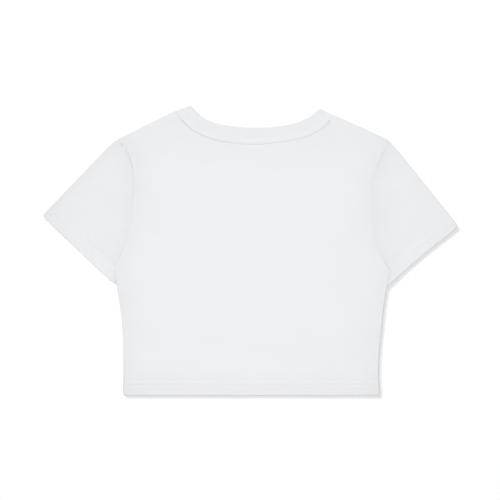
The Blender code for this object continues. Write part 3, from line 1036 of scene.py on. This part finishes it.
@dataclass(frozen=True)
class BodyPanel:
    """The back or the front panel, with its turned hem."""

    layer: Layer
    turn: Turning = Turning(0.68, bulge=0.7)
    above_hem: float = 2.0
    deep_neck_ease: float = 2.0

    # The grid's longest step, and its steps at the sides, at the rows of stitches, at the
    # pucker, and at the turn, the hem's top, the underarm, the shoulder tip and the neck
    step: float = 2.4
    edge_step: float = 0.14
    row_step: float = 0.45
    pucker_step: float = 0.4
    steps_up: tuple[float, ...] = (0.35, 0.4, 0.35, 1.4, 0.3)

    def plan(self, lay: Lay) -> tuple[Array, int]:
        """Lays out the panel's grid.

        Args:
            lay: how the cloth lies.

        Returns:
            Rows of plan points from the hem up, and how many rows the hem covers.
        """
        pattern, reach = lay.pattern, self.turn.reach
        landmarks = {}
        for side in Side:
            seam, armhole = pattern.sides[side].length, pattern.armholes[side].length
            total = seam + armhole + pattern.shoulders[side].length
            landmarks[side] = [reach, lay.body_hem + self.above_hem, seam, seam + armhole, total]
        left = landmarks[Side.LEFT]
        _, _, underarm, tip, neck = left
        spots = [*zip((reach, lay.body_hem, underarm, tip, neck), self.steps_up)]
        spots += [(row, self.row_step) for row in lay.rows(False)]
        spots.append((tip - lay.pucker, self.pucker_step))
        ups = {Side.LEFT: graded(reach, neck, spots, self.step)}
        ups[Side.RIGHT] = np.interp(ups[Side.LEFT], left, landmarks[Side.RIGHT])
        width = pattern.hem.length
        ends = [(place, self.edge_step) for place in (0.0, width)]
        across = graded(0.0, width, ends, self.step) / width
        neckline = pattern.necklines[self.layer]
        far = neckline.at(across * neckline.length)
        edges = [pattern.body_edge(side).at(ups[side]) for side in Side]
        near = edges[0][0] + across[:, None] * (edges[1][0] - edges[0][0])
        shares = [(ups[side] - reach) / (landmarks[side][-1] - reach) for side in Side]
        ease = 1.0 if self.layer is Layer.BACK else self.deep_neck_ease
        plan = coons(near, far, edges, across, shares, ease)
        return plan, int(np.searchsorted(ups[Side.LEFT], lay.body_hem))

    def cut(self, lay: Lay) -> Cut:
        """The panel's flat cut, with its hem let down.

        Args:
            lay: how the cloth lies.

        Returns:
            Its width, length and area.
        """
        left, right = (lay.pattern.body_edge(side) for side in Side)
        around = [left, lay.pattern.necklines[self.layer], Line(right.points[::-1])]
        width = right.points[:, 0].max() - left.points[:, 0].min()
        hem_area = lay.pattern.hem.length * lay.body_hem
        return Cut(width, left.points[:, 1].max() + lay.body_hem, enclosed(around) + hem_area)

    def make(self, lay: Lay, tones: PaintedShadeAndMottle, weaver: Weaver) -> Piece:
        """Builds the panel.

        Args:
            lay: how the cloth lies.
            tones: how light it is painted, with its painted shade.
            weaver: makes the mesh.

        Returns:
            The new object.
        """
        plan, doubled = self.plan(lay)
        back = self.layer is Layer.BACK
        patch = Patch(lay.pattern, plan, on_sleeve=False)
        outer = lifted(plan, (lay.upper if back else lay.lower)(patch))
        points = self.turn.over(outer, Facing.UP if back else Facing.DOWN, doubled)
        places = self.turn.flat(plan, doubled)
        tone = self.turn.flat(tones.jersey(patch), doubled)
        obj = weaver.cloth(self.layer.value + "_cloth", points, places, tone, flipped=not back)
        weaver.finishes.jersey.dress(obj)
        return obj


@dataclass(frozen=True)
class Sleeve:
    """A set-in sleeve, a flattened tube with its hem turned up."""

    side: Side
    turn: Turning = Turning(0.66, bulge=0.7)
    corner: float = 1.2
    corner_start: float = 0.15
    cuff_fan: float = 0.17

    # The grid's longest step, its steps at the rows of stitches, going up at the turn, the
    # hem's top and the shoulder tip, and round from the underarm seam at its start, the
    # armhole, the pucker and the top fold
    step: float = 2.2
    row_step: float = 0.45
    steps_up: tuple[float, ...] = (0.2, 0.4, 0.25)
    steps_round: tuple[float, ...] = (0.2, 0.3, 0.4, 0.14)

    def plan(self, lay: Lay) -> tuple[Array, int]:
        """Lays out one layer of the sleeve.

        Args:
            lay: how the cloth lies.

        Returns:
            Rows of plan points from the hem up, and how many rows the hem covers.
        """
        pattern, side, reach = lay.pattern, self.side, self.turn.reach
        underarm, cuff = pattern.underarms[side], pattern.cuffs[side]
        fold = Line(pattern.sleeve_folds[side].points[::-1])
        sewn = underarm.joined(pattern.sleeve_armholes[side])
        spots = [*zip((reach, lay.sleeve_hem, fold.length), self.steps_up)]
        spots += [(row, self.row_step) for row in lay.rows(True)]
        ups = graded(reach, fold.length, spots, self.step)
        share = (ups - reach) / (fold.length - reach)
        closed, length = underarm.length - self.corner, sewn.length - self.corner
        spots = zip((0.0, closed, length - lay.pucker, length), self.steps_round)
        around = graded(0.0, length, spots, self.step)
        far = sewn.at(self.corner + around)
        across = around / length
        fanned = np.interp(around, [0.0, closed, length], [0.0, self.cuff_fan, 1.0])
        inner = cuff.at(fanned * cuff.length)
        start = underarm.at(self.corner_start * self.corner)
        near = inner + (1 - across[:, None]) * (start - inner[0])
        near = near + across[:, None] * (fold.at(reach) - inner[-1])
        inwards = far - near
        inwards /= np.maximum(np.linalg.norm(inwards, axis=1, keepdims=True), TINY)
        near[1:-1] = (inner + reach * inwards)[1:-1]
        edges = start + share[:, None] * (far[0] - start), fold.at(ups)
        plan = coons(near, far, edges, across, (share, share))
        return plan, int(np.searchsorted(ups, lay.sleeve_hem))

    def cut(self, lay: Lay) -> Cut:
        """The sleeve's flat cut, opened at the underarm and with its hem let down.

        Args:
            lay: how the cloth lies.

        Returns:
            Its width, length and area.
        """
        pattern, side = lay.pattern, self.side
        cuff, fold = pattern.cuffs[side], pattern.sleeve_folds[side]
        armhole, underarm = pattern.sleeve_armholes[side], pattern.underarms[side]
        back_to_start = [Line(line.points[::-1]) for line in (fold, armhole, underarm)]
        one_layer = enclosed([cuff, *back_to_start]) + cuff.length * lay.sleeve_hem
        outwards = cuff.points[-1] - cuff.points[0]
        across = armhole.points @ (outwards / np.linalg.norm(outwards))
        half = max(cuff.length, across.max() - across.min())
        return Cut(2 * half, fold.length + lay.sleeve_hem, 2 * one_layer)

    def make(self, lay: Lay, tones: PaintedShadeAndMottle, weaver: Weaver) -> Piece:
        """Builds the sleeve, whose knit runs along its top fold.

        Args:
            lay: how the cloth lies.
            tones: how light it is painted, with its painted shade and highlight.
            weaver: makes the mesh.

        Returns:
            The new object.
        """
        plan, doubled = self.plan(lay)
        patch = Patch(lay.pattern, plan, on_sleeve=True)
        layers = [
            self.turn.over(lifted(plan, surface(patch)), facing, doubled)
            for surface, facing in ((lay.upper, Facing.UP), (lay.lower, Facing.DOWN))
        ]
        tone = self.turn.flat(tones.jersey(patch), doubled)
        fold = lay.pattern.sleeve_folds[self.side].points
        along = fold[-1] - fold[0]
        along /= np.linalg.norm(along)
        turned = self.turn.flat(plan, doubled) @ [[-along[1], along[0]], [along[0], along[1]]]
        places, tone = ringed(turned, turned), ringed(tone, tone)
        name = "sleeve_" + self.side.value + "_cloth"
        obj = weaver.cloth(name, ringed(*layers), places, tone, flipped=self.side is Side.LEFT)
        weaver.finishes.jersey.dress(obj)
        return obj


@dataclass(frozen=True)
class NeckRib:
    """The neck rib: a ring of rib knit, folded double along its free edge."""

    turn: Turning = Turning(0.8, rows=9, bulge=0.45)
    width: float = 24.5
    curve_share: float = 1.12

    # The grid's longest step, and its steps at the two folds, and going down at the edge,
    # the allowance and the seam
    step: float = 1.6
    edge_step: float = 0.16
    steps_down: tuple[float, ...] = (0.35, 0.5, 0.25)

    def half(self, layer: Layer, lay: Lay) -> tuple[Array, Array]:
        """Builds one half of the ring.

        Args:
            layer: which half.
            lay: how the cloth lies.

        Returns:
            Rows of points from the inner seam edge round to the outer one, and the
            places that the knit is read at.
        """
        edge, seam = lay.pattern.rib_edges[layer], lay.pattern.rib_seams[layer]
        ends = [(place, self.edge_step) for place in (0.0, seam.length)]
        along = graded(0.0, seam.length, ends, self.step)
        first, last = edge.at(along / seam.length * edge.length), seam.at(along)
        reach = self.turn.reach
        places = (reach, self.width - lay.allowance + reach, self.width)
        down = graded(reach, self.width, zip(places, self.steps_down), self.step)
        plan = first + (down / self.width)[:, None, None] * (last - first)
        facing = Facing.UP if layer is Layer.BACK else Facing.DOWN
        points = self.turn.over(lifted(plan, lay.rib_face(plan, layer)), facing, len(down))
        return points, self.turn.flat(np.stack(np.meshgrid(along, down), axis=-1), len(down))

    def cut(self, lay: Lay) -> Cut:
        """The rib's flat strip, opened out of its ring and unfolded.

        Args:
            lay: how the cloth lies.

        Returns:
            Its length, width and area.
        """
        seams, edges = lay.pattern.rib_seams, lay.pattern.rib_edges
        length = sum(seams[layer].length for layer in Layer)
        halves = [[seams[layer], Line(edges[layer].points[::-1])] for layer in Layer]
        area = 2 * sum(enclosed(half) for half in halves)
        return Cut(length, area / length * self.curve_share, area)

    def make(self, lay: Lay, tones: PaintedShadeAndMottle, weaver: Weaver) -> Piece:
        """Builds the rib.

        Args:
            lay: how the cloth lies.
            tones: how light it is.
            weaver: makes the mesh.

        Returns:
            The new object.
        """
        halves = [self.half(layer, lay) for layer in Layer]
        points, places = (ringed(*parts) for parts in zip(*halves))
        obj = weaver.cloth("neck_rib", points, places, tones.rib(points[..., :2]), flipped=True)
        weaver.finishes.rib.dress(obj)
        return obj


@dataclass(frozen=True)
class HemStitching:
    """The two rows of coverstitch that hold a hem, on both layers."""

    name: str
    hem: Line
    side: Side | None
    inset: float = 2.4
    pitch: float = 2.9
    length: float = 2.35
    radius: float = 0.17
    facets: int = 6
    bends: float = 0.3
    tips: float = 0.45
    tip_scale: float = 0.45
    dive: float = 1.6
    sunk: float = 0.006
    body_clear: float = 1.0

    def one(self) -> Piece:
        """Models a single stitch: a short run of thread whose ends dive into the cloth.

        Returns:
            The stitch, along x at the origin.
        """
        select_nothing()
        bpy.ops.mesh.primitive_cylinder_add(
            vertices=self.facets, radius=self.radius * MM, depth=1.0 * MM
        )
        obj = bpy.context.object
        centre = {"center_override": (0, 0, 0)}
        bpy.ops.object.mode_set(mode="EDIT")
        bpy.ops.mesh.select_all(action="SELECT")
        bpy.ops.transform.rotate(value=math.pi / 2, orient_axis="Y", **centre)
        bpy.ops.transform.resize(value=(self.length, 1.0, 1.0), **centre)
        for share in (-self.bends, self.bends):
            bpy.ops.mesh.select_all(action="SELECT")
            place = (share * self.length * MM, 0.0, 0.0)
            bpy.ops.mesh.bisect(plane_co=place, plane_no=(1.0, 0.0, 0.0))
        bpy.ops.mesh.select_all(action="DESELECT")
        bpy.ops.object.mode_set(mode="OBJECT")
        for vertex in obj.data.vertices:
            vertex.select = abs(vertex.co.x) > self.tips * self.length * MM
        bpy.ops.object.mode_set(mode="EDIT")
        bpy.ops.transform.resize(value=(1.0, self.tip_scale, self.tip_scale), **centre)
        bpy.ops.transform.translate(value=(0.0, 0.0, -self.dive * self.radius * MM))
        bpy.ops.object.mode_set(mode="OBJECT")
        bpy.ops.object.shade_smooth()
        return obj

    def spots(self, lay: Lay) -> list[tuple[Array, float]]:
        """Finds where the stitches lie on both layers.

        Args:
            lay: how the cloth lies.

        Returns:
            For each row and layer, the stitches' two ends as (x, up, height), and 1 on the
            upper layer or -1 on the lower one.
        """
        found, on_sleeve = [], self.side is not None
        for row in lay.rows(on_sleeve):
            beside = (self.hem.moved(offset) for offset in (row, -row))
            line = max(beside, key=lambda moved: moved.points[:, 1].mean())
            count = int((line.length - 2 * self.inset) / self.pitch)
            starts = self.inset + self.pitch * np.arange(count)
            ends = np.stack([line.at(starts), line.at(starts + self.length)])
            if self.side:
                body = np.interp(ends[..., 1], *lay.pattern.body_edge(self.side).points.T[::-1])
                clear = np.abs(ends[..., 0]) > np.abs(body) + self.body_clear
                ends = ends[:, clear.all(axis=0)]
            patch = Patch(lay.pattern, ends, on_sleeve)
            for surface, sign in ((lay.upper, 1.0), (lay.lower, -1.0)):
                found.append((lifted(ends, surface(patch) - sign * self.sunk), sign))
        return found

    def make(self, lay: Lay, finish: ThreadFinish) -> Piece:
        """Builds all of the hem's stitches as one piece.

        Args:
            lay: how the cloth lies.
            finish: what the thread looks like.

        Returns:
            The new object.
        """
        stitch = self.one()
        copies = []
        for ends, sign in self.spots(lay):
            for start, end in zip(*in_metres(ends)):
                mesh = stitch.data.copy()
                along = Vector(end - start).normalized()
                side = Vector((0.0, 0.0, sign)).cross(along).normalized()
                frame = Matrix((along, side, along.cross(side))).transposed().to_4x4()
                mesh.transform(Matrix.Translation((start + end) / 2) @ frame)
                copies.append(bpy.data.objects.new(self.name, mesh))
                bpy.context.scene.collection.objects.link(copies[-1])
        select_nothing()
        bpy.data.objects.remove(stitch)
        for copy in copies:
            copy.select_set(True)
        bpy.context.view_layer.objects.active = copies[0]
        bpy.ops.object.join()
        obj = bpy.context.object
        obj.name = obj.data.name = self.name
        finish.dress(obj)
        return obj


class Value:
    """A number or a colour inside a material, which Python's operators work on."""

    def __init__(self, graph: Graph, socket: Any) -> None:
        """Wraps an output socket."""
        self.graph = graph
        self.socket = socket

    def _math(self, operation: str, *terms: Any) -> Value:
        """Adds a Math node."""
        return self.graph.node("Math", {"operation": operation}, dict(enumerate(terms)))

    def __add__(self, other: Any) -> Value:
        """This plus other."""
        return self._math("ADD", self, other)

    def __sub__(self, other: Any) -> Value:
        """This minus other."""
        return self._math("SUBTRACT", self, other)

    def __rsub__(self, other: Any) -> Value:
        """Other minus this."""
        return self._math("SUBTRACT", other, self)

    def __mul__(self, other: Any) -> Value:
        """This times other."""
        return self._math("MULTIPLY", self, other)

    __radd__ = __add__
    __rmul__ = __mul__

    def wave(self) -> Value:
        """The sine of this, which goes round once as this goes up by 2."""
        return self._math("SINE", self * math.pi)

    def size(self) -> Value:
        """This without its sign."""
        return self._math("ABSOLUTE", self)

    def halved(self) -> Value:
        """This from 0 to 1, where it runs from -1 to 1."""
        return self * 0.5 + 0.5

    def zigzag(self) -> Value:
        """Rises from 0 to 1 and falls back as this goes up by 2."""
        return self._math("PINGPONG", self, 1.0)


class Graph:
    """Makes the nodes of one material."""

    def __init__(self, name: str) -> None:
        """Starts a material with one shader."""
        self.material = bpy.data.materials.new(name)
        self.material.use_nodes = True
        self.tree = self.material.node_tree
        self.shader = self.tree.nodes["Principled BSDF"]

    def node(self, kind: str, settings: dict, inputs: dict, output: Any = 0) -> Value:
        """Adds a node.

        Args:
            kind: the node's type.
            settings: its own properties, set first.
            inputs: values or links of its sockets, by name or number.
            output: the socket that is returned, by name or number.

        Returns:
            The chosen output.
        """
        made = self.tree.nodes.new("ShaderNode" + kind)
        for name, value in settings.items():
            setattr(made, name, value)
        for key, value in inputs.items():
            self.put(made.inputs[key], value)
        return Value(self, made.outputs[output])

    def put(self, socket: Any, value: Any) -> None:
        """Sets a socket, or links it."""
        if isinstance(value, Value):
            self.tree.links.new(value.socket, socket)
        else:
            socket.default_value = value

    def shade(self, **inputs: Any) -> None:
        """Sets the shader's sockets; underscores stand for spaces."""
        for name, value in inputs.items():
            self.put(self.shader.inputs[name.replace("_", " ")], value)


@dataclass(frozen=True)
class JerseyFinish:
    """White cotton single jersey: columns of small V-shaped stitches, matt."""

    name: str = "cotton_jersey"
    # The tone attribute mixes the base colour from light down to dark; on the jersey most of that
    # darkening is painted shade, the rest random mottle
    light: tuple[float, float, float] = (0.787, 0.792, 0.801)
    dark: tuple[float, float, float] = (0.681, 0.688, 0.701)
    wale: float = 0.00078
    course: float = 0.0006
    depth: float = 0.00006
    slant: float = 1.1
    course_share: float = 0.28
    fuzz_scale: float = 1400.0
    fuzz_detail: float = 2.0
    fuzz_height: float = 0.5
    fuzz_tone: float = 0.06
    slub_scale: float = 260.0
    slub_detail: float = 3.0
    slub_height: float = 0.6
    slub_tone: float = 0.18
    roughness: float = 0.92
    sheen: float = 0.12
    sheen_roughness: float = 0.5

    def stitches(self, wales: Value, courses: Value) -> Value:
        """How far the stitches stand up, by twice the count of columns and of rows."""
        rows = (courses + wales.zigzag() * self.slant).wave() * self.course_share
        return wales.wave().size() * (rows + (1 - self.course_share))

    def material(self) -> bpy.types.Material:
        """Makes the material, whose knit follows the piece's own map.

        Returns:
            The new material.
        """
        graph = Graph(self.name)
        knit = graph.node("UVMap", {}, {})
        wales = graph.node("SeparateXYZ", {}, {0: knit}, "X") * (2 / self.wale)
        courses = graph.node("SeparateXYZ", {}, {0: knit}, "Y") * (2 / self.course)
        here = graph.node("TexCoord", {}, {}, "Object")
        fuzz, slub = (
            graph.node("TexNoise", {}, {"Vector": here, "Scale": scale, "Detail": detail})
            for scale, detail in (
                (self.fuzz_scale, self.fuzz_detail), (self.slub_scale, self.slub_detail)
            )
        )
        height = self.stitches(wales, courses) + fuzz * self.fuzz_height + slub * self.slub_height
        relief = {"Height": height, "Strength": 1.0, "Distance": self.depth}
        # The tone carries painted shade and a painted highlight as well as random mottle
        tone = graph.node("Attribute", {"attribute_name": "tone"}, {}, "Fac").halved()
        share = tone + (slub - 0.5) * self.slub_tone + (fuzz - 0.5) * self.fuzz_tone
        mixed = {"Factor": share, 6: (*self.dark, 1.0), 7: (*self.light, 1.0)}
        colour = graph.node("Mix", {"data_type": "RGBA"}, mixed, 2)
        graph.shade(Base_Color=colour, Roughness=self.roughness)
        graph.shade(Normal=graph.node("Bump", {}, relief))
        graph.shade(Sheen_Weight=self.sheen, Sheen_Roughness=self.sheen_roughness)
        return graph.material

    def dress(self, obj: Piece) -> None:
        """Puts the knit on a piece."""
        obj.data.materials.append(bpy.data.materials.get(self.name) or self.material())


@dataclass(frozen=True)
class RibFinish(JerseyFinish):
    """White cotton rib: fine raised columns that run across the neck band, matt."""

    name: str = "cotton_rib"
    wale: float = 0.00125
    depth: float = 0.0001
    course_share: float = 0.2
    fuzz_height: float = 0.0
    fuzz_tone: float = 0.0
    slub_scale: float = 300.0
    slub_height: float = 0.5

    def stitches(self, wales: Value, courses: Value) -> Value:
        """How far the stitches stand up, by twice the count of columns and of rows."""
        return wales.wave().halved() + (courses + wales.zigzag()).wave() * self.course_share


@dataclass(frozen=True)
class ThreadFinish:
    """White spun sewing thread, a little brighter than the cloth."""

    colour: tuple[float, float, float] = (0.798, 0.803, 0.809)
    roughness: float = 0.75

    def dress(self, obj: Piece) -> None:
        """Puts the thread on a piece."""
        graph = Graph(obj.name)
        graph.shade(Base_Color=(*self.colour, 1.0), Roughness=self.roughness)
        obj.data.materials.clear()
        obj.data.materials.append(graph.material)


@dataclass(frozen=True)
class Finishes:
    """The finishes of the whole garment."""

    jersey: JerseyFinish = JerseyFinish()
    rib: RibFinish = RibFinish()
    thread: ThreadFinish = ThreadFinish()


@dataclass(frozen=True)
class Studio:
    """The floor, the lights and the camera."""

    lens: float = 85.0
    sensor: float = 36.0
    frame_width: float = 0.7243
    centre: tuple[float, float] = (-0.00072, 0.00004)
    focus_height: float = 0.003
    floor_size: float = 12.0
    floor_white: float = 0.93
    overhead_power: float = 26.0
    overhead_size: tuple[float, float] = (1.7, 1.7)
    overhead_height: float = 2.1
    key_power: float = 7150.0
    key_distance: float = 30.0
    key_size: tuple[float, float] = (17.0, 8.0)
    key_elevation: float = 24.0
    key_azimuth: float = 131.0
    sky: float = 0.33

    def floor(self) -> None:
        """Makes the pale floor."""
        select_nothing()
        bpy.ops.mesh.primitive_plane_add(size=self.floor_size)
        floor = bpy.context.object
        floor.name = "floor"
        graph = Graph("pale_floor")
        white = (self.floor_white,) * 3 + (1.0,)
        graph.shade(Base_Color=white, Roughness=1.0, Specular_IOR_Level=0.0)
        floor.data.materials.append(graph.material)

    @staticmethod
    def light(name: str, energy: float, place: Vector, size: tuple[float, float]) -> None:
        """Adds an area light that faces the garment's middle.

        Args:
            name: what it is called.
            energy: its power in watts.
            place: where it stands.
            size: its two sides.
        """
        data = bpy.data.lights.new(name + "_light", "AREA")
        data.energy = energy
        data.shape = "RECTANGLE"
        data.size, data.size_y = size
        light = bpy.data.objects.new(data.name, data)
        light.location = place
        light.rotation_mode = "QUATERNION"
        light.rotation_quaternion = (-place).to_track_quat("-Z", "Y")
        bpy.context.scene.collection.objects.link(light)

    def lights(self) -> None:
        """Adds a broad light overhead, a distant soft key from the upper left and a dim sky."""
        above = Vector((0.0, 0.0, self.overhead_height))
        self.light("overhead", self.overhead_power, above, self.overhead_size)
        azimuth, elevation = math.radians(self.key_azimuth), math.radians(self.key_elevation)
        level = Vector((math.cos(azimuth), math.sin(azimuth), math.tan(elevation)))
        place = level.normalized() * self.key_distance
        self.light("key", self.key_power, place, self.key_size)
        world = bpy.data.worlds.new("sky")
        world.use_nodes = True
        background = world.node_tree.nodes["Background"]
        background.inputs["Color"].default_value = (1.0, 1.0, 1.0, 1.0)
        background.inputs["Strength"].default_value = self.sky
        bpy.context.scene.world = world

    def camera(self) -> None:
        """Places the camera straight above the garment."""
        data = bpy.data.cameras.new("camera")
        data.lens, data.sensor_width = self.lens, self.sensor
        camera = bpy.data.objects.new("camera", data)
        distance = self.frame_width * self.lens / self.sensor
        camera.location = (*self.centre, self.focus_height + distance)
        bpy.context.scene.collection.objects.link(camera)
        bpy.context.scene.camera = camera

    def build(self) -> None:
        """Sets up the whole studio."""
        self.floor()
        self.lights()
        self.camera()
        bpy.context.scene.view_settings.view_transform = "Standard"
        bpy.context.scene.view_settings.look = "None"


class CropTop:
    """The whole garment."""

    def __init__(self) -> None:
        """Works out the pattern and how the cloth lies."""
        self.lay = Lay(Pattern())
        self.tones = PaintedShadeAndMottle(self.lay.pattern)
        self.weaver = Weaver(Finishes())

    def build(self) -> None:
        """Makes every piece and joins it to the frame."""
        pieces = (
            (BodyPanel(Layer.FRONT), "front", "jersey"),
            (BodyPanel(Layer.BACK), "back", "jersey"),
            (Sleeve(Side.LEFT), "sleeve_left", "jersey"),
            (Sleeve(Side.RIGHT), "sleeve_right", "jersey"),
            (NeckRib(), "collar", "rib"),
        )
        lay = self.lay
        hems = {"back": (lay.pattern.hem, None)}
        for side in Side:
            hems["sleeve_" + side.value] = (lay.pattern.cuffs[side], side)
        for piece, node, slot in pieces:
            obj = piece.make(lay, self.tones, self.weaver)
            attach(obj, "root")
            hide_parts(node)
            sewn_on = []
            if node in hems:
                stitching = HemStitching(node + "_hem_stitches", *hems[node])
                sewn_on.append(stitching.make(lay, self.weaver.finishes.thread))
                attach(sewn_on[0], "root")
            piece.cut(lay).declare(obj, sewn_on)
            LOG.info("%s: %d faces for %s", obj.name, len(obj.data.polygons), node)


def main() -> None:
    """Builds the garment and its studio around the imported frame."""
    logging.basicConfig(level=logging.INFO, format="%(name)s %(message)s")
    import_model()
    CropTop().build()
    Studio().build()


if __name__ == "__main__":
    main()
